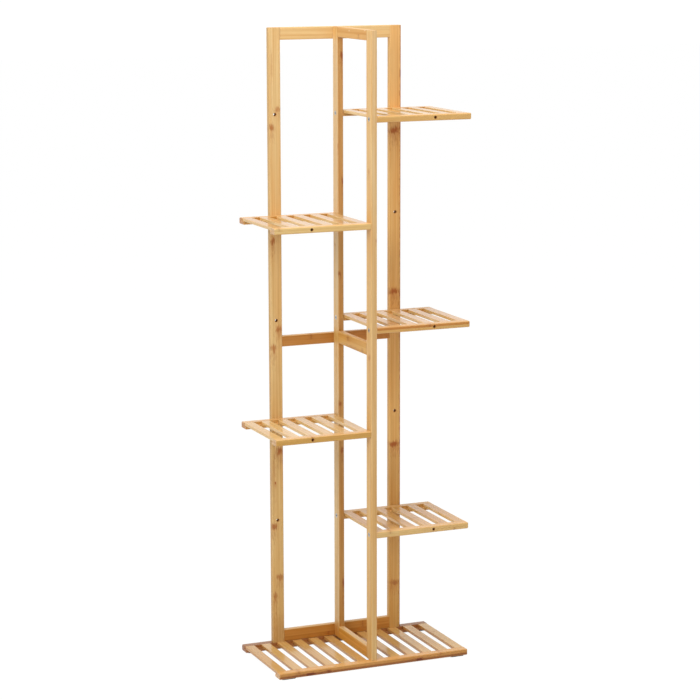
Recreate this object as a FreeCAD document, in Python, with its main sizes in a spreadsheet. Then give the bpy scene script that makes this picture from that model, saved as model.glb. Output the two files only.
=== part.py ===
import FreeCAD, Part
import os
import Sketcher

# Tiered plant stand in light bamboo: five cantilever shelves step up a cross of two frames.
# X runs along the stand's width, Y from its front to its back, Z up from the floor.
# The origin is on the floor, in the middle of the base.

doc = FreeCAD.newDocument("TieredPlantStand")
vector = FreeCAD.Vector

# ---------------------------------------------------------------- driving dimensions, mm
dimensions = [
    ("stockWidth", 24, "bamboo strip that posts and rails are cut from, wide face"),
    ("stockThickness", 12, "the same strip, thin face"),
    ("standHeight", 1240, "top of the posts above the underside of the base"),
    ("baseLength", 402, "base rails, left to right"),
    ("baseDepth", 208, "base, front edge to back edge"),
    ("backFrameWidth", 279, "outside to outside of the two side posts"),
    ("frontSetback", 4, "front post and shelves behind the front edge of the base"),
    ("shelfLength", 197, "shelf rails, from the divider to their free end"),
    ("firstShelfTop", 271, "top of the lowest shelf above the underside of the base"),
    ("topRoom", 161, "highest shelf top below the top of the posts; the others are spaced evenly"),
    ("rebateWidth", 8, "ledge cut in a rail for the slat ends"),
    ("slatWidth", 21.5, "slat, across"),
    ("slatThickness", 5.5, "slat, and so the depth of the ledge"),
    ("slatEndGap", 0.2, "slat end to the wall of the ledge"),
    ("shelfSlatInset", 4, "free end of a shelf rail to its first slat"),
    ("dividerSlatInset", 1, "divider to the nearest shelf slat"),
    ("baseSlatInset", 1.3, "end of a base rail to its first slat"),
    ("topRailHeight", 24, "back frame, top rail"),
    ("middleRailHeight", 21, "back frame, middle rail"),
    ("middleRailDrop", 38, "top of the same below the top of the middle shelf"),
    ("bottomRailHeight", 24, "bottom rails of both frames"),
    ("dividerTopHeight", 20, "divider, top rail"),
    ("dividerMiddleHeight", 24, "divider, middle rail"),
    ("dividerMiddleDrop", 32, "top of the same below the top of the middle shelf"),
    ("frameEdge", 1, "eased long edges of posts and frame rails"),
    ("railEdge", 1.4, "eased long edges of shelf and base rails"),
    ("railEnd", 1, "eased edges round the ends of shelf and base rails"),
    ("postTop", 0.8, "eased edges round the top of a post"),
    ("slatEdge", 0.7, "eased upper edges of a slat"),
    ("boltShank", 5.9, "bolt, diameter of the threaded shank"),
    ("boltHead", 9, "bolt, diameter of the countersunk head"),
    ("headFit", 0.1, "head to its countersink, all round"),
    ("boltKey", 4, "hexagon socket, across the flats"),
    ("boltKeyDepth", 2.2, "hexagon socket, depth"),
    ("longBolt", 40, "bolts through the divider"),
    ("shortBolt", 25, "bolts through the back frame"),
    ("pilotBore", 6, "bore that a bolt bites into"),
    ("pilotSpare", 1, "pilot bore past the tip of its bolt"),
    ("clearanceBore", 6.5, "bore that a bolt passes through"),
    ("tenonLength", 8, "glued tenon on the end of a frame rail"),
    ("tenonThickness", 6, "the same, across; also the side of a loose tenon"),
    ("tenonShoulder", 4, "rail above and below its tenon"),
    ("tenonFit", 0.1, "tenon to its mortise, all round"),
    ("padLength", 30, "rubber pad under the base, along the rail"),
    ("padWidth", 20, "rubber pad, across the rail"),
    ("padThickness", 1.5, "rubber pad"),
    ("padInset", 6, "end of a base rail to its pad"),
    ("padCorner", 3, "rubber pad, cut corner"),
]
shelfSlats = 6
baseSlats = 12
countersinkAngle = 90

sheet = doc.addObject("Spreadsheet::Sheet", "size")
for row, (name, number, note) in enumerate(dimensions, start=1):
    sheet.set(f"A{row}", name)
    sheet.set(f"B{row}", str(number))
    sheet.setAlias(f"B{row}", name)
    sheet.set(f"C{row}", note)
doc.recompute()

# ---------------------------------------------------------------- levels and lines, as formulas
wide = "size.stockWidth"
thick = "size.stockThickness"
baseUnder = "size.padThickness"
baseTop = f"({baseUnder} + {thick})"
standTop = f"({baseUnder} + size.standHeight)"
postLength = f"(size.standHeight - {thick})"
strip = f"({wide} - size.rebateWidth)"
baseFront = "(-size.baseDepth / 2)"
baseBack = "(size.baseDepth / 2)"
divideFront = f"({baseFront} + size.frontSetback)"
divideBack = f"({baseBack} - {strip})"
dividerPostBack = f"({divideBack} - {wide})"
postOuter = "(size.backFrameWidth / 2)"
postInner = f"({postOuter} - {wide})"
postMiddle = f"({postOuter} - {wide} / 2)"
dividerSide = f"({thick} / 2)"
boltIntoPost = f"({wide} / 2)"
frontFoot = f"({thick} / 2)"
shelfPitch = "((size.standHeight - size.topRoom - size.firstShelfTop) / 4)"


def shelfTop(number):
    """Top of shelf 1 (highest) to 5 (lowest)."""
    return f"({baseUnder} + size.firstShelfTop + {5 - number} * {shelfPitch})"


def boltLevel(number):
    """Middle of a shelf's rails, where its bolts run."""
    return f"({shelfTop(number)} - {thick} / 2)"


shelfSide = {1: 1, 2: -1, 3: 1, 4: -1, 5: 1}
rightShelves = [number for number in shelfSide if shelfSide[number] > 0]
leftShelves = [number for number in shelfSide if shelfSide[number] < 0]


def amount(formula):
    return float(sheet.evalExpression(formula))


# ---------------------------------------------------------------- building blocks
def place(piece, x, y, z):
    for axis, formula in (("x", x), ("y", y), ("z", z)):
        piece.setExpression(f"Placement.Base.{axis}", formula)


def newBody(label):
    body = doc.addObject("PartDesign::Body", label)
    body.Label = label
    return body


def newSketch(body, name, role, offset="0"):
    """Sketch on one of the body's own planes, moved along the plane's normal."""
    sketch = body.newObject("Sketcher::SketchObject", name)
    plane = next(item for item in body.Origin.OriginFeatures if item.Role == role)
    sketch.AttachmentSupport = [(plane, "")]
    sketch.MapMode = "FlatFace"
    sketch.setExpression("AttachmentOffset.Base.z", offset)
    return sketch


def fix(sketch, element, point, x, y):
    """Holds a sketch point at formulas x and y, measured from the sketch's origin."""
    for kind, formula in (("DistanceX", x), ("DistanceY", y)):
        index = sketch.addConstraint(
            Sketcher.Constraint(kind, -1, 1, element, point, amount(formula)))
        sketch.setExpression(f"Constraints[{index}]", formula)


def outline(sketch, corners):
    """Closed outline through corners given as pairs of formulas."""
    points = [vector(amount(x), amount(y), 0) for x, y in corners]
    count = len(points)
    for k in range(count):
        sketch.addGeometry(Part.LineSegment(points[k], points[(k + 1) % count]))
    for k in range(count):
        sketch.addConstraint(Sketcher.Constraint("Coincident", k, 2, (k + 1) % count, 1))
    for k, (x, y) in enumerate(corners):
        fix(sketch, k, 1, x, y)


def rectangle(width, height):
    return [("0", "0"), (width, "0"), (width, height), ("0", height)]


planeAlong = {"x": "YZ_Plane", "y": "XZ_Plane", "z": "XY_Plane"}


def extrude(body, axis, corners, length):
    """Bar along one axis, with one corner of its section at the body's origin."""
    sketch = newSketch(body, "Section", planeAlong[axis])
    outline(sketch, corners)
    pad = body.newObject("PartDesign::Pad", "Length")
    pad.Profile = sketch
    pad.Reversed = axis == "y"
    pad.setExpression("Length", length)
    doc.recompute()
    return pad


def dress(body, edgeTest, formula):
    """Eases every edge of the body that edgeTest picks."""
    base = body.Tip
    names = [f"Edge{k}" for k, edge in enumerate(base.Shape.Edges, start=1) if edgeTest(edge)]
    chamfer = body.newObject("PartDesign::Chamfer", "Eased")
    chamfer.Base = (base, names)
    chamfer.setExpression("Size", formula)
    doc.recompute()


def runsAlong(axis):
    direction = {"x": vector(1, 0, 0), "y": vector(0, 1, 0), "z": vector(0, 0, 1)}[axis]

    def test(edge):
        if len(edge.Vertexes) < 2:
            return False
        run = edge.Vertexes[1].Point - edge.Vertexes[0].Point
        return abs(run.dot(direction)) > 0.999 * edge.Length
    return test


def liesAt(axis, level):
    """Edges in the plane that stands across an axis at a level."""
    def test(edge):
        box = edge.BoundBox
        low, high = getattr(box, f"{axis.upper()}Min"), getattr(box, f"{axis.upper()}Max")
        return abs(low - level) < 0.001 and abs(high - level) < 0.001
    return test


# face to drill from: sketch plane, sign of its offset, whether the drill runs along the normal
drillFaces = {
    "front": ("XZ_Plane", -1, False),
    "back": ("XZ_Plane", -1, True),
    "left": ("YZ_Plane", 1, True),
    "right": ("YZ_Plane", 1, False),
    "bottom": ("XY_Plane", 1, True),
    "top": ("XY_Plane", 1, False),
}


def drill(body, face, level, spots, diameter, depth=None, head=False):
    """Round bores from one face; head adds the countersink that a bolt's head sits in."""
    role, sign, along = drillFaces[face]
    sketch = newSketch(body, "Bores", role, level if sign > 0 else f"-({level})")
    for k, (u, v) in enumerate(spots):
        centre = vector(amount(u), amount(v), 0)
        sketch.addGeometry(Part.Circle(centre, vector(0, 0, 1), amount(diameter) / 2))
        index = sketch.addConstraint(Sketcher.Constraint("Diameter", k, amount(diameter)))
        sketch.setExpression(f"Constraints[{index}]", diameter)
        fix(sketch, k, 3, u, v)
    doc.recompute()
    before = body.Tip.Shape.Volume
    hole = body.newObject("PartDesign::Hole", "Bore")
    hole.Profile = sketch
    hole.ThreadType = "None"
    hole.setExpression("Diameter", diameter)
    hole.DrillPoint = "Flat"
    hole.Reversed = along
    if depth is None:
        hole.DepthType = "ThroughAll"
    else:
        hole.DepthType = "Dimension"
        hole.setExpression("Depth", depth)
    if head:
        hole.HoleCutType = "Countersink"
        hole.HoleCutCustomValues = True
        hole.setExpression("HoleCutDiameter", "size.boltHead + 2 * size.headFit")
        hole.HoleCutCountersinkAngle = countersinkAngle
    doc.recompute()
    if hole.Shape.Volume > before - 1:
        raise RuntimeError(f"{body.Label}: a bore from the {face} cuts nothing")


def block(left, bottom, width, height):
    """Corners of a rectangle that stands at left and bottom."""
    right, top = f"{left} + {width}", f"{bottom} + {height}"
    return [(left, bottom), (right, bottom), (right, top), (left, top)]


def mortise(body, face, level, u, v, tenonHeight="size.tenonThickness"):
    """Blind slot with its middle at u, v on a face; for a loose tenon unless a height is given."""
    role, sign, along = drillFaces[face]
    sketch = newSketch(body, "Slot", role, level if sign > 0 else f"-({level})")
    slotWidth = "(size.tenonThickness + 2 * size.tenonFit)"
    slotHeight = f"({tenonHeight} + 2 * size.tenonFit)"
    outline(sketch, block(f"{u} - {slotWidth} / 2", f"{v} - {slotHeight} / 2",
                          slotWidth, slotHeight))
    before = body.Tip.Shape.Volume
    pocket = body.newObject("PartDesign::Pocket", "Mortise")
    pocket.Profile = sketch
    pocket.Reversed = along
    pocket.setExpression("Length", "size.tenonLength + size.tenonFit")
    doc.recompute()
    if pocket.Shape.Volume > before - 1:
        raise RuntimeError(f"{body.Label}: a mortise on the {face} cuts nothing")


def tenonHeight(railHeight):
    return f"({railHeight} - 2 * size.tenonShoulder)"


def tenons(body, axis, height, length):
    """Tenon on both ends of a rail, as one bar through its middle."""
    sketch = newSketch(body, "TenonSection", planeAlong[axis],
                       "size.tenonLength" if axis == "y" else "-size.tenonLength")
    outline(sketch, block(f"{thick} / 2 - size.tenonThickness / 2", "size.tenonShoulder",
                          "size.tenonThickness", tenonHeight(height)))
    pad = body.newObject("PartDesign::Pad", "Tenons")
    pad.Profile = sketch
    pad.Reversed = axis == "y"
    pad.setExpression("Length", f"{length} + 2 * size.tenonLength")
    doc.recompute()


# ---------------------------------------------------------------- the two frames
# name: (height of the rail, top of the rail)
backRails = {
    "back_top_rail": ("size.topRailHeight", standTop),
    "back_middle_rail": ("size.middleRailHeight", f"({shelfTop(3)} - size.middleRailDrop)"),
    "back_bottom_rail": ("size.bottomRailHeight", f"({baseTop} + size.bottomRailHeight)"),
}
dividerRails = {
    "divider_top_rail": ("size.dividerTopHeight", standTop),
    "divider_middle_rail": ("size.dividerMiddleHeight", f"({shelfTop(3)} - size.dividerMiddleDrop)"),
    "divider_bottom_rail": ("size.bottomRailHeight", f"({baseTop} + size.bottomRailHeight)"),
}


def abovePostFoot(level):
    return f"({level} - {baseTop})"


def railMiddle(rail):
    height, top = rail
    return f"({top} - {height} / 2)"


def post(label, sectionX, sectionY):
    body = newBody(label)
    extrude(body, "z", rectangle(sectionX, sectionY), postLength)
    dress(body, runsAlong("z"), "size.frameEdge")
    dress(body, liesAt("z", amount(postLength)), "size.postTop")
    return body


def sidePost(label, side):
    """Left or right post of the back frame, bored at all five shelf levels."""
    body = post(label, wide, thick)
    for bolted in (True, False):
        bores = [(f"{wide} / 2", abovePostFoot(boltLevel(number))) for number in shelfSide
                 if (shelfSide[number] == side) == bolted]
        drill(body, "back", thick, bores, "size.clearanceBore", head=bolted)
    face, level = ("right", wide) if side < 0 else ("left", "0")
    for rail in backRails.values():
        mortise(body, face, level, f"{thick} / 2", abovePostFoot(railMiddle(rail)),
                tenonHeight(rail[0]))
    mortise(body, "bottom", "0", f"{wide} / 2", f"{thick} / 2")
    place(body, f"-{postOuter}" if side < 0 else postInner, divideBack, baseTop)


def dividerPost(label, front):
    """Front or back post of the divider, with a head of each shelf bolt on the far side."""
    body = post(label, thick, wide)
    for face, level, shelves in (("left", "0", rightShelves), ("right", thick, leftShelves)):
        bores = [(boltIntoPost, abovePostFoot(boltLevel(number))) for number in shelves]
        drill(body, face, level, bores, "size.clearanceBore", head=True)
    face, level = ("back", wide) if front else ("front", "0")
    for rail in dividerRails.values():
        mortise(body, face, level, f"{thick} / 2", abovePostFoot(railMiddle(rail)),
                tenonHeight(rail[0]))
    if front:
        mortise(body, "bottom", "0", f"{thick} / 2", frontFoot)
    else:
        for rail in backRails.values():
            mortise(body, "back", wide, f"{thick} / 2", abovePostFoot(railMiddle(rail)))
    place(body, f"-{dividerSide}", divideFront if front else dividerPostBack, baseTop)


def backRail(label):
    """Rail between the side posts, joined at its middle to the divider's back post."""
    height, top = backRails[label]
    length = f"(2 * {postInner})"
    body = newBody(label)
    extrude(body, "x", rectangle(thick, height), length)
    dress(body, runsAlong("x"), "size.frameEdge")
    tenons(body, "x", height, length)
    mortise(body, "front", "0", postInner, f"{height} / 2")
    place(body, f"-{postInner}", divideBack, f"{top} - {height}")


def dividerRail(label):
    """Rail between the divider's posts."""
    height, top = dividerRails[label]
    length = f"({dividerPostBack} - {divideFront} - {wide})"
    body = newBody(label)
    extrude(body, "y", rectangle(thick, height), length)
    dress(body, runsAlong("y"), "size.frameEdge")
    tenons(body, "y", height, length)
    place(body, f"-{dividerSide}", f"{divideFront} + {wide}", f"{top} - {height}")


sidePost("left_post", -1)
sidePost("right_post", 1)
dividerPost("divider_front_post", True)
dividerPost("divider_back_post", False)
for label in backRails:
    backRail(label)
for label in dividerRails:
    dividerRail(label)

# ---------------------------------------------------------------- rebated rails
ledge = f"({thick} - size.slatThickness)"


def rebatedRail(label, length, front):
    """Rail with a ledge along its inner upper edge; the front rail's inner side faces back."""
    body = newBody(label)
    if front:
        section = [("0", "0"), (wide, "0"), (wide, ledge), (strip, ledge), (strip, thick),
                   ("0", thick)]
        stripEdge = amount(strip)
    else:
        section = [("0", "0"), (wide, "0"), (wide, thick), ("size.rebateWidth", thick),
                   ("size.rebateWidth", ledge), ("0", ledge)]
        stripEdge = amount("size.rebateWidth")
    extrude(body, "x", section, length)
    ledgeLevel = amount(ledge)
    alongRail = runsAlong("x")

    def eased(edge):
        point = edge.Vertexes[0].Point
        inRebate = abs(point.y - stripEdge) < 0.001 or abs(point.z - ledgeLevel) < 0.001
        return alongRail(edge) and not inRebate

    dress(body, eased, "size.railEdge")
    ends = (liesAt("x", 0), liesAt("x", amount(length)))
    dress(body, lambda edge: any(test(edge) for test in ends), "size.railEnd")
    return body


def shelfRail(number, front):
    """Shelf rail: bolted to the divider at its inner end, and bored on its outer face."""
    side = shelfSide[number]
    label = f"shelf_{number}_{'front' if front else 'rear'}_rail"
    body = rebatedRail(label, "size.shelfLength", front)
    across = f"{wide} / 2"
    inner = ("left", "0") if side > 0 else ("right", "size.shelfLength")
    drill(body, inner[0], inner[1], [(across, f"{thick} / 2")], "size.pilotBore",
          f"size.longBolt - {thick} + size.pilotSpare")
    fromDivider = f"({postMiddle} - {dividerSide})"
    along = fromDivider if side > 0 else f"(size.shelfLength - {fromDivider})"
    face, level = ("front", "0") if front else ("back", wide)
    drill(body, face, level, [(along, f"{thick} / 2")], "size.pilotBore",
          f"size.shortBolt - {thick} + size.pilotSpare")
    x = dividerSide if side > 0 else f"-({dividerSide} + size.shelfLength)"
    place(body, x, divideFront if front else dividerPostBack, f"{shelfTop(number)} - {thick}")


def baseRail(label, front):
    """Base rail, slotted on top where the posts stand."""
    body = rebatedRail(label, "size.baseLength", front)
    middle = "size.baseLength / 2"
    if front:
        mortise(body, "top", thick, middle, f"size.frontSetback + {frontFoot}")
    else:
        for side in ("-", "+"):
            mortise(body, "top", thick, f"{middle} {side} {postMiddle}",
                    f"size.rebateWidth + {thick} / 2")
    place(body, "-size.baseLength / 2", baseFront if front else f"{baseBack} - {wide}", baseUnder)


for number in shelfSide:
    shelfRail(number, True)
    shelfRail(number, False)
baseRail("base_front_rail", True)
baseRail("base_rear_rail", False)


# ---------------------------------------------------------------- slats
def slat(label, front, back, centre, top):
    """Slat from the ledge of a front rail to the ledge of a rear rail."""
    body = newBody(label)
    extrude(body, "y", rectangle("size.slatWidth", "size.slatThickness"),
            f"{back} - {front} - 2 * size.slatEndGap")
    upper = amount("size.slatThickness")
    alongSlat = runsAlong("y")
    dress(body, lambda edge: alongSlat(edge) and abs(edge.Vertexes[0].Point.z - upper) < 0.001,
          "size.slatEdge")
    place(body, f"{centre} - size.slatWidth / 2", f"{front} + size.slatEndGap",
          f"{top} - size.slatThickness")
    return body


firstSlat = f"({dividerSide} + size.dividerSlatInset + size.slatWidth / 2)"
lastSlat = f"({dividerSide} + size.shelfLength - size.shelfSlatInset - size.slatWidth / 2)"
for number, side in shelfSide.items():
    for k in range(shelfSlats):
        centre = f"{side} * ({firstSlat} + {k} * ({lastSlat} - {firstSlat}) / {shelfSlats - 1})"
        slat(f"shelf_{number}_slat_{k + 1}", f"({divideFront} + {strip})",
             f"({divideBack} - {strip})", centre, shelfTop(number))

outerSlat = "(size.baseLength / 2 - size.baseSlatInset - size.slatWidth / 2)"
baseRow = []
for k in range(baseSlats):
    centre = f"{outerSlat} * {2 * k - (baseSlats - 1)} / {baseSlats - 1}"
    baseRow.append(slat(f"base_slat_{k + 1}", f"({baseFront} + {strip})",
                        f"({baseBack} - {strip})", centre, baseTop))


# ---------------------------------------------------------------- fasteners and pads
def group(label, members):
    """Pieces that share one file, each a solid of its own."""
    compound = doc.addObject("Part::Compound", label)
    compound.Label = label
    compound.Links = members
    return compound


def bolt(label, length, axis, x, y, z):
    """Countersunk bolt; its head's face is at the place given, its shank runs along axis."""
    body = newBody(label)
    sketch = newSketch(body, "Profile", "XZ_Plane")
    head, shank = "size.boltHead / 2", "size.boltShank / 2"
    outline(sketch, [("0", "0"), (head, "0"), (shank, f"{head} - {shank}"), (shank, length),
                     ("0", length)])
    turned = body.newObject("PartDesign::Revolution", "Turned")
    turned.Profile = sketch
    turned.ReferenceAxis = (sketch, ["V_Axis"])
    turned.Angle = 360
    doc.recompute()
    key = newSketch(body, "Key", "XY_Plane")
    reach = "size.boltKey / 2 / cos(30)"
    corners = [(f"{reach} * cos({60 * k + 30})", f"{reach} * sin({60 * k + 30})") for k in range(6)]
    outline(key, corners)
    socket = body.newObject("PartDesign::Pocket", "Socket")
    socket.Profile = key
    socket.Reversed = True
    socket.setExpression("Length", "size.boltKeyDepth")
    doc.recompute()
    if socket.Shape.Volume > turned.Shape.Volume - 1:
        raise RuntimeError(f"{label}: its socket cuts nothing")
    body.Placement = FreeCAD.Placement(vector(), FreeCAD.Rotation(vector(0, 0, 1), axis))
    place(body, x, y, z)
    return body


toRight, toLeft = vector(1, 0, 0), vector(-1, 0, 0)
toFront = vector(0, -1, 0)
dividerBolts = []
postBolts = []
for number, side in shelfSide.items():
    level = boltLevel(number)
    axis = toRight if side > 0 else toLeft
    for where, postFront in (("front", divideFront), ("back", dividerPostBack)):
        dividerBolts.append(bolt(f"divider_bolt_{number}_{where}", "size.longBolt", axis,
                                 f"{-side} * {dividerSide}", f"{postFront} + {boltIntoPost}",
                                 level))
    postBolts.append(bolt(f"post_bolt_{number}", "size.shortBolt", toFront,
                          f"{side} * {postMiddle}", f"{divideBack} + {thick}", level))
group("divider_bolts", dividerBolts)
group("post_bolts", postBolts)


def looseTenon(label, axis, x, y, z):
    """Glued loose tenon centred on a joint between two faces."""
    body = newBody(label)
    side, length = "size.tenonThickness", "(2 * size.tenonLength)"
    extrude(body, axis, rectangle(side, side), length)
    across = {"x": side, "y": side, "z": side, axis: length}
    place(body, f"{x} - {across['x']} / 2", f"{y} - {across['y']} / 2", f"{z} - {across['z']} / 2")
    return body


rearFoot = f"({divideBack} + {thick} / 2)"
group("loose_tenons", [
    looseTenon(f"cross_tenon_{k}", "y", "0", divideBack, railMiddle(rail))
    for k, rail in enumerate(backRails.values(), start=1)] + [
    looseTenon("left_foot_tenon", "z", f"-{postMiddle}", rearFoot, baseTop),
    looseTenon("right_foot_tenon", "z", postMiddle, rearFoot, baseTop),
    looseTenon("front_foot_tenon", "z", "0", f"({divideFront} + {frontFoot})", baseTop)])


def footPad(label, right, back):
    """Rubber pad under one end of a base rail."""
    body = newBody(label)
    extrude(body, "z", rectangle("size.padLength", "size.padWidth"), "size.padThickness")
    dress(body, runsAlong("z"), "size.padCorner")
    outer = "(size.baseLength / 2 - size.padInset)"
    x = f"{outer} - size.padLength" if right else f"-{outer}"
    rim = f"({wide} - size.padWidth) / 2"
    y = f"{baseBack} - {rim} - size.padWidth" if back else f"{baseFront} + {rim}"
    place(body, x, y, "0")
    return body


group("foot_pads", [footPad(f"pad_{k}", right, back) for k, (right, back) in enumerate(
    ((False, False), (True, False), (False, True), (True, True)), start=1)])
group("base_slats", baseRow)
doc.recompute()

# ---------------------------------------------------------------- check and write
inGroups = {member.Name for item in doc.Objects if item.TypeId == "Part::Compound"
            for member in item.Links}
nodes = [item for item in doc.Objects
         if item.TypeId in ("PartDesign::Body", "Part::Compound") and item.Name not in inGroups]

for item in doc.Objects:
    if {"Invalid", "Error"} & set(item.State):
        raise RuntimeError(f"{item.Label} failed: {item.State}")
for item in nodes:
    if item.Shape.isNull() or not item.Shape.isValid():
        raise RuntimeError(f"{item.Label} has no valid shape")

os.makedirs("parts", exist_ok=True)
for item in nodes:
    item.Shape.exportStep(f"parts/{item.Label}.step")
print(len(nodes), "nodes,", sum(len(item.Shape.Solids) for item in nodes), "solids")
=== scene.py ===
import math
import bmesh
import bpy
from mathutils import Matrix, Vector


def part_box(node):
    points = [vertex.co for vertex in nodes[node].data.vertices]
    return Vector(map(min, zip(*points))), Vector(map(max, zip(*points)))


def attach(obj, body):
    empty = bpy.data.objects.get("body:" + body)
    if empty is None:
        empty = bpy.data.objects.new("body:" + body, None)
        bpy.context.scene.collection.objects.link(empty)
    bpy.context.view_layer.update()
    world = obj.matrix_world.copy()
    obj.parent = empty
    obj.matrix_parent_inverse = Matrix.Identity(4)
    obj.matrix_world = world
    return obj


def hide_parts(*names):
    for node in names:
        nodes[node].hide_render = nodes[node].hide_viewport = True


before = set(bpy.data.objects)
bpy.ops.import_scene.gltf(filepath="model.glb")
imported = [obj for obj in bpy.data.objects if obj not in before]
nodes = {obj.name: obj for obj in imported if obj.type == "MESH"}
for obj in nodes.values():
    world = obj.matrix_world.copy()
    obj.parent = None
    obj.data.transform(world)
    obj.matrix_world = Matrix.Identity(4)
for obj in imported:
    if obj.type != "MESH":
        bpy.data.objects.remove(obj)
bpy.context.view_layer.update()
print("frame loaded:", len(nodes), "nodes")


# shorthands for building node trees
def put(tree, kind, inputs=None, **settings):
    node = tree.nodes.new(kind)
    for name, value in settings.items():
        setattr(node, name, value)
    connect(tree, node, inputs or {})
    return node


def connect(tree, node, inputs):
    for name, value in inputs.items():
        if isinstance(value, bpy.types.NodeSocket):
            tree.links.new(value, node.inputs[name])
        else:
            node.inputs[name].default_value = value


def calc(tree, operation, a, b=0.0, c=0.0):
    return put(tree, "ShaderNodeMath", {0: a, 1: b, 2: c}, operation=operation).outputs[0]


def vectorCalc(tree, operation, a, b):
    return put(tree, "ShaderNodeVectorMath", {0: a, 1: b}, operation=operation).outputs[0]


# moves a value from the range low..high to newLow..newHigh, and holds it at the ends
def spread(tree, value, low, high, newLow=0.0, newHigh=1.0, smooth=False):
    return put(tree, "ShaderNodeMapRange",
               {"Value": value, "From Min": low, "From Max": high, "To Min": newLow,
                "To Max": newHigh},
               interpolation_type="SMOOTHSTEP" if smooth else "LINEAR").outputs[0]


def mixColour(tree, factor, a, b, how="MIX"):
    return put(tree, "ShaderNodeMix", {0: factor, 6: a, 7: b}, data_type="RGBA",
               blend_type=how).outputs[2]


# a colour as a paint program shows it, 0 to 255
def paint(red, green, blue):
    def linear(v):
        v = v / 255
        return v / 12.92 if v <= 0.04045 else ((v + 0.055) / 1.055) ** 2.4
    return (linear(red), linear(green), linear(blue), 1.0)


vectorLabels = ("Place", "Centre", "Size", "Cross")


def newGroup(name, inputs, outputs):
    group = bpy.data.node_groups.new(name, "ShaderNodeTree")
    for way, labels in (("INPUT", inputs), ("OUTPUT", outputs)):
        for label in labels:
            kind = "NodeSocketVector" if label in vectorLabels else "NodeSocketFloat"
            group.interface.new_socket(label, in_out=way, socket_type=kind)
    return (group, group.nodes.new("NodeGroupInput").outputs,
            group.nodes.new("NodeGroupOutput"))


def useGroup(tree, group, inputs):
    node = put(tree, "ShaderNodeGroup", node_tree=group)
    connect(tree, node, inputs)
    return node.outputs


# what the grain is made of: lengths in metres, noise scales along, across and through
grainShape = {
    "fibres": {"Fine": ((12, 1500, 1500), 2), "Streak": ((2.2, 300, 300), 3),
               "Drift": ((5, 90, 90), 2)},
    "seedSteps": (1.37, 0.61, 0.83),
    "seam": (0.0001, 0.0005),
    "knotShown": 0.3, "knotWobble": 0.0015,
    "knotBands": {"Knot": (0.0004, 0.0026), "Halo": (0.001, 0.011)},
    "markRagged": 0.5, "markFade": (0.25, 1.1), "trailReach": 0.3,
    "trailRough": 1.5, "trailDark": 0.4,
    "scorchAndShadeFade": (0.00001, 0.0001),
}


# bamboo: Place is along the grain, across the wide face, through the thickness, in metres
def makeFibreGroup():
    group, given, out = newGroup("bambooFibre", ["Place", "Seed"], ["Fine", "Streak", "Drift"])
    jump = put(group, "ShaderNodeCombineXYZ",
               {k: calc(group, "MULTIPLY", given["Seed"], step)
                for k, step in enumerate(grainShape["seedSteps"])}).outputs[0]
    spot = vectorCalc(group, "ADD", given["Place"], jump)
    for label, (stretch, detail) in grainShape["fibres"].items():
        noise = put(group, "ShaderNodeTexNoise",
                    {"Vector": vectorCalc(group, "MULTIPLY", spot, stretch), "Scale": 1.0,
                     "Detail": detail, "Roughness": 0.6})
        connect(group, out, {label: spread(group, noise.outputs[0], 0.36, 0.64)})
    return group


# glued strips: each has its own tone, with a hairline seam between neighbours
def makeStripGroup():
    group, given, out = newGroup(
        "bambooStrips", ["Place", "Width", "Depth", "Shift", "Seed"], ["Tone", "Seam", "Cell"])
    parts = put(group, "ShaderNodeSeparateXYZ", {0: given["Place"]}).outputs
    cells = []
    seams = []
    for value, size in ((calc(group, "ADD", parts[1], given["Shift"]), given["Width"]),
                        (parts[2], given["Depth"])):
        ratio = calc(group, "DIVIDE", value, size)
        cells.append(calc(group, "FLOOR", ratio))
        toEdge = calc(group, "SUBTRACT", 0.5, calc(group, "ABSOLUTE", calc(
            group, "SUBTRACT", calc(group, "FRACT", ratio), 0.5)))
        seams.append(spread(group, calc(group, "MULTIPLY", toEdge, size),
                            *grainShape["seam"], 1, 0))
    key = put(group, "ShaderNodeCombineXYZ",
              {0: cells[0], 1: cells[1], 2: given["Seed"]}).outputs[0]
    tone = put(group, "ShaderNodeTexWhiteNoise", {"Vector": key}, noise_dimensions="3D").outputs[0]
    connect(group, out, {
        "Tone": tone, "Seam": calc(group, "MAXIMUM", seams[0], seams[1]),
        "Cell": calc(group, "ADD", calc(group, "MULTIPLY", cells[0], 7.31),
                     calc(group, "MULTIPLY", cells[1], 3.77))})
    return group


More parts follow.
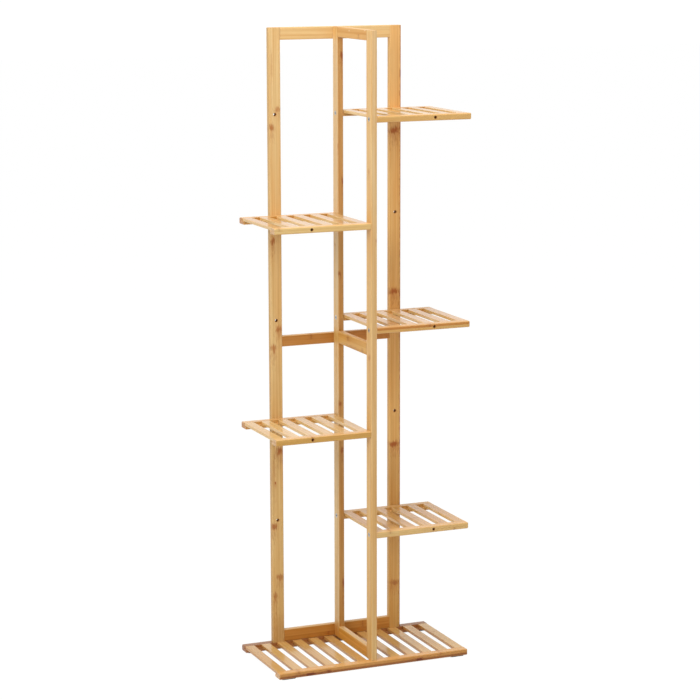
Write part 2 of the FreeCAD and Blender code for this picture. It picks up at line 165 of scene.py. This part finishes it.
# growth rings of the cane: a brown line across one strip, about every Spacing
def makeKnotGroup():
    group, given, out = newGroup(
        "bambooKnots", ["Place", "Cell", "Spacing", "Seed"], ["Knot", "Halo"])
    parts = put(group, "ShaderNodeSeparateXYZ", {0: given["Place"]}).outputs
    key = calc(group, "ADD", given["Cell"], given["Seed"])
    start = put(group, "ShaderNodeTexWhiteNoise", {"W": key}, noise_dimensions="1D").outputs[0]
    ratio = calc(group, "ADD", calc(group, "DIVIDE", parts[0], given["Spacing"]),
                 calc(group, "MULTIPLY", start, 9))
    cell = calc(group, "FLOOR", ratio)
    here = put(group, "ShaderNodeTexWhiteNoise",
               {"Vector": put(group, "ShaderNodeCombineXYZ", {0: cell, 1: key}).outputs[0]},
               noise_dimensions="2D").outputs[0]
    wobble = put(group, "ShaderNodeTexNoise",
                 {"Vector": vectorCalc(group, "MULTIPLY", given["Place"], (120, 420, 420)),
                  "Scale": 1.0, "Detail": 2.0}).outputs[0]
    middle = spread(group, here, 0, 1, 0.2, 0.8)
    offset = calc(group, "MULTIPLY", calc(group, "ABSOLUTE", calc(
        group, "SUBTRACT", calc(group, "FRACT", ratio), middle)), given["Spacing"])
    reach = grainShape["knotWobble"]
    bent = calc(group, "ADD", offset, spread(group, wobble, 0.3, 0.7, -reach, reach))
    shown = calc(group, "GREATER_THAN", here, grainShape["knotShown"])
    for label, (low, high) in grainShape["knotBands"].items():
        band = spread(group, bent, low, high, 1, 0, smooth=True)
        connect(group, out, {label: calc(group, "MULTIPLY", band, shown)})
    return group


# a ring of the cane at a known place: a ragged stain that runs on down the grain; the same shape
# also places the painted reflected light and shade beside rails
def makeMarkGroup():
    group, given, out = newGroup("bambooMark", ["Place", "Centre", "Size"], ["Mark"])
    shift = grainShape["markRagged"]
    ragged = spread(group, put(group, "ShaderNodeTexNoise", {
        "Vector": vectorCalc(group, "MULTIPLY", given["Place"], (90, 520, 520)),
        "Scale": 1.0, "Detail": 3.0}).outputs[0], 0.3, 0.7, -shift, shift)
    offset = vectorCalc(group, "DIVIDE", vectorCalc(
        group, "SUBTRACT", given["Place"], given["Centre"]), given["Size"])
    parts = put(group, "ShaderNodeSeparateXYZ", {0: offset}).outputs
    below = calc(group, "MAXIMUM", parts[0],
                 calc(group, "MULTIPLY", parts[0], -grainShape["trailReach"]))
    stretched = put(group, "ShaderNodeCombineXYZ",
                    {0: below, 1: parts[1], 2: parts[2]}).outputs[0]
    masks = []
    for spot, rough, dark in ((offset, 1, 1),
                              (stretched, grainShape["trailRough"], grainShape["trailDark"])):
        reach = put(group, "ShaderNodeVectorMath", {0: spot}, operation="LENGTH").outputs["Value"]
        bent = calc(group, "ADD", reach, calc(group, "MULTIPLY", ragged, rough))
        masks.append(spread(group, bent, *grainShape["markFade"], dark, 0, smooth=True))
    connect(group, out, {"Mark": calc(group, "MAXIMUM", masks[0], masks[1])})
    return group


# drilled walls: drill scorch plus painted shade in the hole; Cross is 1 across the bore, 0 along it
def makeScorchAndShadeGroup():
    group, given, out = newGroup("boreScorchAndShade", ["Place", "Centre", "Cross", "Radius"], ["ScorchAndShade"])
    offset = vectorCalc(group, "MULTIPLY", vectorCalc(
        group, "SUBTRACT", given["Place"], given["Centre"]), given["Cross"])
    reach = put(group, "ShaderNodeVectorMath", {0: offset}, operation="LENGTH").outputs["Value"]
    beyond = calc(group, "SUBTRACT", reach, given["Radius"])
    connect(group, out, {"ScorchAndShade": spread(group, beyond, *grainShape["scorchAndShadeFade"], 1, 0)})
    return group


fibreGroup = makeFibreGroup()
stripGroup = makeStripGroup()
knotGroup = makeKnotGroup()
markGroup = makeMarkGroup()
scorchAndShadeGroup = makeScorchAndShadeGroup()

bambooFinish = {"roughness": (0.34, 0.5), "lacquerRoughness": 0.12, "fibreDark": 0.14,
                "streakDark": 0.52, "driftWarm": 0.35, "seamDark": 0.35, "grooveDepth": 0.0003,
                "grainShade": (220, 192, 140), "warmShade": (244, 208, 148),
                "scorchAndShade": (186, 134, 80), "fleckShade": (250, 232, 208), "bumpStrength": 0.25}
satin = {"lacquer": 0.1, "specular": 0.2, "grain": 1.0}
halfGloss = {"lacquer": 0.4, "specular": 0.1, "grain": 0.8}
glossy = {"lacquer": 0.65, "specular": 0.15, "grain": 0.55}


def newMaterial(name):
    material = bpy.data.materials.new(name)
    material.use_nodes = True
    return material, material.node_tree, material.node_tree.nodes["Principled BSDF"]


# axes: which of the scene's axes run along the grain, across the wide face and through it
def bamboo(name, corner, look):
    material, tree, shader = newMaterial(name)
    surface = put(tree, "ShaderNodeTexCoord").outputs
    spot = put(tree, "ShaderNodeSeparateXYZ",
               {0: vectorCalc(tree, "SUBTRACT", surface["Object"], corner)}).outputs
    facing = put(tree, "ShaderNodeSeparateXYZ", {0: surface["Normal"]}).outputs
    order = ["xyz".index(axis) for axis in look["axes"]]
    place = put(tree, "ShaderNodeCombineXYZ", {k: spot[n] for k, n in enumerate(order)}).outputs[0]
    onEnd, onWide = (spread(tree, calc(tree, "ABSOLUTE", facing[order[k]]), 0.6, 0.8)
                     for k in (0, 2))
    seed = look["seed"]
    strips = useGroup(tree, stripGroup, {
        "Place": place, "Width": look["stripWidth"], "Depth": look["stripDepth"],
        "Shift": look["stripShift"], "Seed": seed})
    fibre = useGroup(tree, fibreGroup, {"Place": place, "Seed": seed})

    wide = mixColour(tree, strips["Tone"], paint(*look["wide"][0]), paint(*look["wide"][1]))
    edge = mixColour(tree, strips["Tone"], paint(*look["edge"][0]), paint(*look["edge"][1]))
    if "plies" in look:
        joint, lower, upper = look["plies"]
        side = spread(tree, spot[order[2]], joint - 0.0002, joint + 0.0002)
        edge = mixColour(tree, side, paint(*lower), paint(*upper))
    colour = mixColour(tree, onWide, edge, wide)
    colour = mixColour(tree, onEnd, colour, paint(*look["end"]))
    # painted shade: the colour darkens towards the foot of a post, where less lamp light reaches
    if "paintedFootShade" in look:
        toFoot = spread(tree, spot[order[0]], 0, look["length"], 1, 0)
        colour = mixColour(tree, toFoot, colour, paint(*look["paintedFootShade"]), "MULTIPLY")

    def stain(colour, amount, mask, shade):
        return mixColour(tree, calc(tree, "MULTIPLY", mask, amount), colour, paint(*shade),
                         "MULTIPLY")

    grain = look["grain"]
    for amount, mask, shade in (
            (bambooFinish["driftWarm"] * grain, fibre["Drift"], bambooFinish["warmShade"]),
            (bambooFinish["streakDark"] * grain, fibre["Streak"], bambooFinish["grainShade"]),
            (bambooFinish["fibreDark"] * grain, fibre["Fine"], bambooFinish["grainShade"]),
            (bambooFinish["seamDark"], strips["Seam"], bambooFinish["grainShade"])):
        colour = stain(colour, amount, mask, shade)
    if look["knotDark"]:
        knots = useGroup(tree, knotGroup, {"Place": place, "Cell": strips["Cell"],
                                           "Spacing": look["knotSpacing"], "Seed": seed})
        for amount, mask in ((look["knotDark"] / 2, knots["Halo"]),
                             (look["knotDark"], knots["Knot"])):
            colour = stain(colour, amount, mask, look["knotColour"])
    for centre, size, dark in look.get("marks", []):
        mark = useGroup(tree, markGroup, {"Place": place, "Centre": centre, "Size": size})
        colour = stain(colour, dark, mark["Mark"], look["knotColour"])
    # painted reflected light and shade: a warmer, darker tone on the post where a rail meets it
    for centre, size, shade in look.get("paintedRailBounce", []):
        mark = useGroup(tree, markGroup, {"Place": place, "Centre": centre, "Size": size})
        colour = stain(colour, 1, mark["Mark"], shade)
    for centre, size, pale in look.get("flecks", []):
        mark = useGroup(tree, markGroup, {"Place": place, "Centre": centre, "Size": size})
        colour = mixColour(tree, calc(tree, "MULTIPLY", mark["Mark"], pale), colour,
                           paint(*bambooFinish["fleckShade"]))

    gloss = look["lacquer"]
    low, high = bambooFinish["roughness"]
    roughness = spread(tree, fibre["Streak"], 0, 1, low, high)
    # bore walls get the drill's scorch and painted shade inside the hole, and lose their lacquer
    for centre, radius in look.get("bores", []):
        scorchAndShade = useGroup(tree, scorchAndShadeGroup, {"Place": place, "Centre": centre, "Radius": radius,
                                              "Cross": look["boreCross"]})["ScorchAndShade"]
        colour = mixColour(tree, scorchAndShade, colour, paint(*bambooFinish["scorchAndShade"]))
        plain = calc(tree, "SUBTRACT", 1, scorchAndShade)
        gloss = calc(tree, "MULTIPLY", gloss, plain)
        roughness = calc(tree, "MAXIMUM", roughness, scorchAndShade)

    height = calc(tree, "SUBTRACT", calc(tree, "MULTIPLY", fibre["Fine"], 0.3),
                  calc(tree, "MULTIPLY", strips["Seam"], 0.7))
    bump = put(tree, "ShaderNodeBump", {
        "Strength": bambooFinish["bumpStrength"], "Distance": bambooFinish["grooveDepth"],
        "Height": height})
    shader.inputs["Coat Roughness"].default_value = bambooFinish["lacquerRoughness"]
    shader.inputs["Specular IOR Level"].default_value = look["specular"]
    connect(tree, shader, {"Base Color": colour, "Normal": bump.outputs[0],
                           "Roughness": roughness, "Coat Weight": gloss})
    return material


softEdge = {"wood": 0.0003, "steel": 0.0002, "segments": 2, "sharperThan": 30}


# puts a material on a piece and takes the sharpness off its edges
def dress(piece, material, edge=softEdge["wood"]):
    piece.data.materials.clear()
    piece.data.materials.append(material)
    bevel = piece.modifiers.new("softEdges", "BEVEL")
    bevel.width = edge
    bevel.segments = softEdge["segments"]
    bevel.limit_method = "ANGLE"
    bevel.angle_limit = math.radians(softEdge["sharperThan"])


def dressBamboo(label, look):
    dress(nodes[label], bamboo(label + "Bamboo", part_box(label)[0], look))


# posts: marks are where the photograph shows the cane's rings; the warm tints beside a rail are
# painted reflected light and shade, a warmer tone where the photograph shows one
# the foot shade colour is painted shade: posts darken towards the foot
postLook = {**satin, "wide": ((244, 225, 181), (234, 209, 160)),
            "edge": ((224, 190, 134), (214, 178, 120)),
            "end": (220, 186, 138), "length": 1.228, "paintedFootShade": (243, 236, 214),
            "stripWidth": 0.0152, "stripDepth": 0.03, "stripShift": 0.0064,
            "knotSpacing": 0.36, "knotColour": (188, 118, 46), "knotDark": 0.0}
shelfLevels = {1: 1.061, 2: 0.859, 3: 0.657, 4: 0.455, 5: 0.253}
postBore = {"across": 0.012, "radius": 0.00325}
railBore = {"along": {1: 0.1215, -1: 0.0755}, "up": 0.006, "radius": 0.003}


def postBores(levels):
    return [((shelfLevels[k], postBore["across"], 0), postBore["radius"]) for k in levels]


postPieces = {
    "left_post": {
        "axes": "zxy", "seed": 1.0, "boreCross": (1, 1, 0),
        "bores": postBores((1, 3, 5)),
        "edge": ((222, 190, 134), (214, 180, 122)),
        "marks": [((1.0706, 0.0175, 0), (0.007, 0.009, 0.030), 0.6),
                  ((1.0353, 0.0055, 0), (0.010, 0.007, 0.030), 0.75),
                  ((0.8140, 0.0055, 0), (0.012, 0.006, 0.030), 0.8),
                  ((0.6390, 0.0180, 0), (0.009, 0.011, 0.030), 0.75),
                  ((0.5999, 0.0055, 0), (0.012, 0.007, 0.030), 0.7),
                  ((0.3930, 0.0160, 0), (0.010, 0.011, 0.030), 0.85),
                  ((0.3296, 0.0075, 0), (0.004, 0.0018, 0.002), 0.95),
                  ((0.2409, 0.0050, 0), (0.010, 0.007, 0.030), 0.75),
                  ((0.1334, 0.0165, 0), (0.009, 0.011, 0.030), 0.65),
                  ((0.0952, 0.0050, 0), (0.010, 0.006, 0.030), 0.75),
                  ((1.1550, 0.0060, 0), (0.040, 0.0022, 0.030), 0.3),
                  ((0.3450, 0.0030, 0), (0.045, 0.007, 0.030), 0.3),
                  # the last mark is no ring: it darkens the foot of the post further
                  ((0.0200, 0.0120, 0), (0.050, 0.020, 0.020), 0.25)]},
    "right_post": {
        "axes": "zxy", "seed": 2.0, "stripWidth": 0.0205, "stripShift": 0.0,
        "wide": ((245, 218, 159), (239, 199, 138)), "paintedFootShade": (236, 232, 208),
        "edge": ((252, 220, 160), (246, 212, 150)), "boreCross": (1, 1, 0),
        "bores": postBores((2, 4)),
        "marks": [((1.0215, 0.0095, 0), (0.010, 0.0135, 0.030), 0.9),
                  ((0.6990, 0.0095, 0), (0.009, 0.0150, 0.030), 0.85),
                  ((0.3860, 0.0110, 0), (0.009, 0.0155, 0.030), 0.9),
                  ((0.0950, 0.0105, 0), (0.008, 0.0165, 0.030), 0.65),
                  ((1.1299, 0.0235, 0), (0.014, 0.003, 0.006), 0.8),
                  ((0.9200, 0.0240, 0), (0.016, 0.003, 0.006), 0.5),
                  ((0.6000, 0.0243, 0), (12, 0.0035, 0.020), 0.7)]},
    "divider_front_post": {
        "axes": "zyx", "seed": 3.0, "wide": ((245, 219, 169), (239, 213, 160)),
        "edge": ((220, 191, 146), (216, 187, 140)),
        "marks": [((0.9609, 0.0120, 0), (0.008, 0.007, 0.003), 0.35),
                  ((0.6036, 0.0100, 0), (0.010, 0.006, 0.003), 0.4),
                  ((0.8307, 0.0000, 0.0107), (0.005, 0.003, 0.003), 0.5)]},
    "divider_back_post": {
        "axes": "zyx", "seed": 4.0, "wide": ((246, 232, 199), (246, 225, 185)),
        "edge": ((200, 158, 100), (190, 145, 86)),
        # painted reflected light and shade beside the top, middle and bottom rails
        "paintedRailBounce": [((1.2220, 0.0120, 0), (0.026, 0.050, 0.050), (254, 236, 200)),
                   ((0.6190, 0.0120, 0), (0.022, 0.050, 0.050), (248, 234, 190)),
                   ((0.0020, 0.0120, 0), (0.034, 0.050, 0.050), (240, 202, 142))],
        "marks": [((1.1735, 0, 0.0085), (0.012, 0.002, 0.004), 0.8),
                  ((0.9286, 0, 0.0099), (0.011, 0.002, 0.003), 0.8),
                  ((0.7458, 0, 0.0028), (0.006, 0.002, 0.004), 0.7),
                  ((0.4840, 0, 0.0030), (0.007, 0.002, 0.004), 0.7),
                  ((0.3877, 0, 0.0078), (0.009, 0.002, 0.005), 0.7),
                  ((0.1125, 0, 0.0100), (0.020, 0.002, 0.003), 0.8),
                  ((0.9976, 0, 0), (0.008, 0.004, 0.002), 0.4),
                  ((0.8020, 0.0138, 0), (0.006, 0.004, 0.002), 0.4)]},
}
for label, own in postPieces.items():
    dressBamboo(label, {**postLook, **own})

# frame rails: places along the grain count from the end of the tenon
railLook = {**satin, "edge": ((236, 204, 150), (228, 192, 136)), "end": (214, 178, 134),
            "stripWidth": 0.013, "stripDepth": 0.03, "stripShift": 0.003, "knotSpacing": 0.3,
            "knotColour": (176, 112, 52), "knotDark": 0.3}
frameRails = {
    "back_top_rail": {"axes": "xzy", "seed": 11.0, "wide": ((241, 215, 164), (235, 205, 153))},
    "back_middle_rail": {"axes": "xzy", "seed": 12.0, "wide": ((206, 153, 84), (190, 134, 66))},
    "back_bottom_rail": {"axes": "xzy", "seed": 13.0, "wide": ((213, 157, 80), (199, 141, 63))},
    "divider_top_rail": {"axes": "yzx", "seed": 14.0, "wide": ((238, 198, 137), (231, 187, 126)),
                         "flecks": [((0.0905, 0.0147, 0), (0.0016, 0.0012, 0.002), 0.9),
                                    ((0.0154, 0.0179, 0), (0.0016, 0.0012, 0.002), 0.9)]},
    "divider_middle_rail": {"axes": "yzx", "seed": 15.0, "wide": ((234, 196, 120), (226, 185, 108)),
                            "marks": [((0.1000, 0.0185, 0), (0.008, 0.008, 0.003), 0.5),
                                      ((0.0800, 0.0030, 0), (0.050, 0.004, 0.003), 0.35)]},
    "divider_bottom_rail": {"axes": "yzx", "seed": 16.0, "wide": ((236, 187, 94), (228, 177, 85))},
}
for label, own in frameRails.items():
    dressBamboo(label, {**railLook, **own})
print("frames dressed")

# shelf and base rails: two plies show on their edges
plyLook = {**railLook, **halfGloss, "axes": "xyz", "wide": ((236, 196, 138), (229, 187, 127)),
           "edge": ((206, 162, 94), (196, 150, 80)), "stripWidth": 0.03, "stripDepth": 0.0062,
           "boreCross": (1, 0, 1)}
shelfFronts = {
    1: {"seed": 21.0, "edge": ((214, 176, 111), (210, 169, 104))},
    2: {"seed": 22.0, "edge": ((223, 198, 140), (219, 191, 133))},
    3: {"seed": 23.0, "edge": ((181, 151, 84), (178, 145, 79)),
        "plies": (0.0062, (206, 168, 104), (186, 126, 58))},
    4: {"seed": 24.0, "edge": ((200, 158, 86), (190, 148, 74))},
    5: {"seed": 25.0, "edge": ((212, 181, 123), (207, 173, 113))},
}
for number, own in shelfFronts.items():
    side = 1 if number % 2 else -1
    bores = [((railBore["along"][side], 0, railBore["up"]), railBore["radius"])]
    dressBamboo(f"shelf_{number}_front_rail", {**plyLook, **own, "bores": bores})
    dressBamboo(f"shelf_{number}_rear_rail",
                {**plyLook, "seed": 30.0 + number, "end": (198, 146, 92)})
baseRails = {
    "base_front_rail": {"seed": 41.0, "wide": ((231, 183, 115), (222, 171, 103)),
                        "edge": ((188, 134, 72), (180, 124, 64)),
                        "plies": (0.0052, (148, 96, 46), (188, 135, 70)),
                        "marks": [((0.065, 0, 0.0045), (0.014, 0.01, 0.0040), 0.9),
                                  ((0.103, 0, 0.0050), (0.007, 0.01, 0.0040), 0.7),
                                  ((0.298, 0, 0.0045), (0.010, 0.01, 0.0040), 0.9)]},
    "base_rear_rail": {"seed": 42.0, "wide": ((168, 118, 70), (158, 108, 62)),
                       "edge": ((176, 120, 68), (164, 110, 60)), "end": (158, 104, 62)},
}
for label, own in baseRails.items():
    dressBamboo(label, {**plyLook, **own})

# slats: narrower than the frame's and spread to the rails' ends, as in the photograph;
# besideDivider is how far the base's middle slats stand from the middle, left and right
slatShape = {"width": 0.019, "outerInset": 0.0007, "easedEdge": 0.0007,
             "besideDivider": (0.0200, 0.0170), "near": 0.0001}
slatLook = {**glossy, "axes": "yxz", "edge": ((230, 196, 136), (222, 186, 124)),
            "end": (216, 180, 138), "stripDepth": 0.202, "stripShift": 0.0, "knotSpacing": 0.5,
            "knotColour": (190, 132, 76), "knotDark": 0.2}
slatTones = {1: ((211, 169, 103), (204, 158, 91)), 2: ((212, 171, 118), (204, 161, 103)),
             3: ((223, 178, 123), (215, 168, 111)), 4: ((229, 191, 129), (221, 180, 115)),
             5: ((216, 168, 100), (208, 158, 89))}
baseSlatLook = {**slatLook, "seed": 52.0, "wide": ((221, 182, 115), (208, 163, 93)),
                "edge": ((208, 160, 94), (194, 142, 78))}


# one mesh of slats: low and high corners of the node they stand for, and their middles
def makeSlats(name, replaced, low, high, middles):
    half = slatShape["width"] / 2
    shape = bmesh.new()
    for middle in middles:
        corners = bmesh.ops.create_cube(shape, size=1.0)["verts"]
        bmesh.ops.scale(shape, vec=(2 * half, high.y - low.y, high.z - low.z), verts=corners)
        bmesh.ops.translate(shape, vec=(middle, (low.y + high.y) / 2, (low.z + high.z) / 2),
                            verts=corners)
    upper = [edge for edge in shape.edges
             if all(v.co.z > high.z - slatShape["near"] for v in edge.verts)
             and abs(edge.verts[0].co.x - edge.verts[1].co.x) < slatShape["near"]]
    bmesh.ops.bevel(shape, geom=upper, offset=slatShape["easedEdge"], segments=2,
                    profile=0.5, affect="EDGES")
    mesh = bpy.data.meshes.new(name)
    shape.to_mesh(mesh)
    shape.free()
    piece = bpy.data.objects.new(name, mesh)
    bpy.context.scene.collection.objects.link(piece)
    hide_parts(replaced)
    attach(piece, "root")
    return piece


# each slat is a strip of its own, so it gets a tone of its own
def slatStrips(middles, low):
    pitch = abs(middles[1] - middles[0])
    return Vector((min(middles) - pitch / 2, low.y, low.z - 0.1)), {"stripWidth": pitch}


for number in range(1, 6):
    side = 1 if number % 2 else -1
    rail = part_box(f"shelf_{number}_front_rail")
    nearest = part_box(f"shelf_{number}_slat_1")
    half = slatShape["width"] / 2
    first = (nearest[0].x if side > 0 else nearest[1].x) + side * half
    last = (rail[1].x if side > 0 else rail[0].x) - side * (slatShape["outerInset"] + half)
    middles = [first + k * (last - first) / 5 for k in range(6)]
    corner, pitch = slatStrips(middles, nearest[0])
    shelfBamboo = bamboo(f"shelf{number}SlatBamboo", corner, {
        **slatLook, **pitch, "seed": 50.0 + number, "wide": slatTones[number]})
    for k, middle in enumerate(middles, 1):
        label = f"shelf_{number}_slat_{k}"
        low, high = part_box(label)
        dress(makeSlats(f"shelf{number}Slat{k}", label, low, high, [middle]), shelfBamboo)
low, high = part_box("base_slats")
outer = (high.x - low.x) / 2 - slatShape["width"] / 2
middles = [start + k * (end - start) / 5 for start, end in
           ((-outer, -slatShape["besideDivider"][0]), (slatShape["besideDivider"][1], outer))
           for k in range(6)]
corner, pitch = slatStrips(middles, low)
dress(makeSlats("baseSlats", "base_slats", low, high, middles),
      bamboo("baseSlatBamboo", corner, {**baseSlatLook, **pitch}))
print("shelves and base dressed")

# bolts and pads
boltFinish = {"colour": (226, 226, 223), "dull": (150, 150, 150), "roughness": (0.22, 0.38),
              "scratches": 900.0}


def boltSteel():
    material, tree, shader = newMaterial("zincSteel")
    place = put(tree, "ShaderNodeTexCoord").outputs["Object"]
    noise = put(tree, "ShaderNodeTexNoise", {"Vector": place, "Scale": boltFinish["scratches"],
                                             "Detail": 2.0}).outputs[0]
    low, high = boltFinish["roughness"]
    shader.inputs["Metallic"].default_value = 1.0
    connect(tree, shader, {
        "Base Color": mixColour(tree, noise, paint(*boltFinish["colour"]),
                                paint(*boltFinish["dull"])),
        "Roughness": spread(tree, noise, 0.3, 0.7, low, high)})
    return material


steel = boltSteel()
for label in ("divider_bolts", "post_bolts"):
    dress(nodes[label], steel, softEdge["steel"])

padFinish = {"colour": (28, 27, 26), "worn": (46, 44, 42), "roughness": 0.85, "grain": 700.0,
             "bumpStrength": 0.4, "bumpDepth": 0.0002}


def padRubber():
    material, tree, shader = newMaterial("padRubber")
    place = put(tree, "ShaderNodeTexCoord").outputs["Object"]
    noise = put(tree, "ShaderNodeTexNoise",
                {"Vector": place, "Scale": padFinish["grain"]}).outputs[0]
    bump = put(tree, "ShaderNodeBump", {
        "Strength": padFinish["bumpStrength"], "Distance": padFinish["bumpDepth"],
        "Height": noise})
    shader.inputs["Roughness"].default_value = padFinish["roughness"]
    connect(tree, shader, {"Normal": bump.outputs[0], "Base Color": mixColour(
        tree, noise, paint(*padFinish["colour"]), paint(*padFinish["worn"]))})
    return material


dress(nodes["foot_pads"], padRubber())
dress(nodes["loose_tenons"], nodes["left_post"].data.materials[0])
print("bolts and pads dressed")

# studio: pale floor, white surroundings, soft lamps
studio = {"floorSize": 40.0, "floorColour": 0.82, "floorGlow": 0.94, "skyStrength": 0.45,
          "whiteStrength": 1.04}


# 1 for what the camera sees, straight or in a glossy or clear surface
def seenRays(tree):
    rays = put(tree, "ShaderNodeLightPath").outputs
    return calc(tree, "MAXIMUM", rays["Is Camera Ray"],
                calc(tree, "MAXIMUM", rays["Is Glossy Ray"], rays["Is Transmission Ray"]))


def makeStudio():
    half = studio["floorSize"] / 2
    mesh = bpy.data.meshes.new("floor")
    mesh.from_pydata([(-half, -half, 0), (half, -half, 0), (half, half, 0), (-half, half, 0)],
                     [], [(0, 1, 2, 3)])
    floor = bpy.data.objects.new("floor", mesh)
    bpy.context.scene.collection.objects.link(floor)
    material, tree, shader = newMaterial("paleFloor")
    tree.nodes.remove(shader)
    grey = studio["floorColour"]
    paper = put(tree, "ShaderNodeBsdfDiffuse", {"Color": (grey, grey, grey, 1)}).outputs[0]
    glow = put(tree, "ShaderNodeEmission", {"Strength": studio["whiteStrength"]}).outputs[0]
    mixed = put(tree, "ShaderNodeMixShader", {
        0: calc(tree, "MULTIPLY", seenRays(tree), studio["floorGlow"]), 1: paper, 2: glow})
    connect(tree, tree.nodes["Material Output"], {"Surface": mixed.outputs[0]})
    mesh.materials.append(material)

    world = bpy.data.worlds.new("studio")
    bpy.context.scene.world = world
    world.use_nodes = True
    tree = world.node_tree
    connect(tree, tree.nodes["Background"],
            {"Color": (1, 1, 1, 1),
             "Strength": spread(tree, seenRays(tree), 0, 1, studio["skyStrength"],
                                studio["whiteStrength"])})


# the lamps all point at the middle of the stand
lampAim = (0, 0, 0.6)
lamps = {
    "keyLamp": {"at": (-2.5, -1.9, 2.5), "size": 1.8, "power": 66.0},
    "topLamp": {"at": (-0.3, -0.5, 3.3), "size": 1.6, "power": 42.0},
    "fillLamp": {"at": (1.6, -3.4, 2.2), "size": 2.2, "power": 20.0},
}


def makeLamps():
    for name, lamp in lamps.items():
        light = bpy.data.lights.new(name, "AREA")
        light.size = lamp["size"]
        light.energy = lamp["power"]
        piece = bpy.data.objects.new(name, light)
        piece.location = lamp["at"]
        aim = Vector(lampAim) - Vector(lamp["at"])
        piece.rotation_euler = aim.to_track_quat("-Z", "Y").to_euler()
        bpy.context.scene.collection.objects.link(piece)


# where the photograph was taken from: place in metres, angles in radians, focal length and
# frame in pixels, sensor in millimetres
cameraFit = {"at": (-1.76946, -4.14998, 1.44602), "yaw": 0.4014, "pitch": -0.1817,
             "roll": -0.002, "focal": 2346.0, "frame": 700.0, "sensor": 36.0}


def makeCamera():
    yaw, pitch, roll = cameraFit["yaw"], cameraFit["pitch"], cameraFit["roll"]
    ahead = Vector((math.sin(yaw) * math.cos(pitch), math.cos(yaw) * math.cos(pitch),
                    math.sin(pitch)))
    level = Vector((math.cos(yaw), -math.sin(yaw), 0))
    above = level.cross(ahead)
    right = math.cos(roll) * level + math.sin(roll) * above
    up = math.cos(roll) * above - math.sin(roll) * level
    camera = bpy.data.cameras.new("photoCamera")
    camera.sensor_width = cameraFit["sensor"]
    camera.lens = camera.sensor_width * cameraFit["focal"] / cameraFit["frame"]
    piece = bpy.data.objects.new("photoCamera", camera)
    turn = Matrix((right, up, -ahead)).transposed().to_4x4()
    piece.matrix_world = Matrix.Translation(cameraFit["at"]) @ turn
    bpy.context.scene.collection.objects.link(piece)
    bpy.context.scene.camera = piece


makeStudio()
makeLamps()
makeCamera()
bpy.context.scene.view_settings.view_transform = "Standard"
print("studio set")
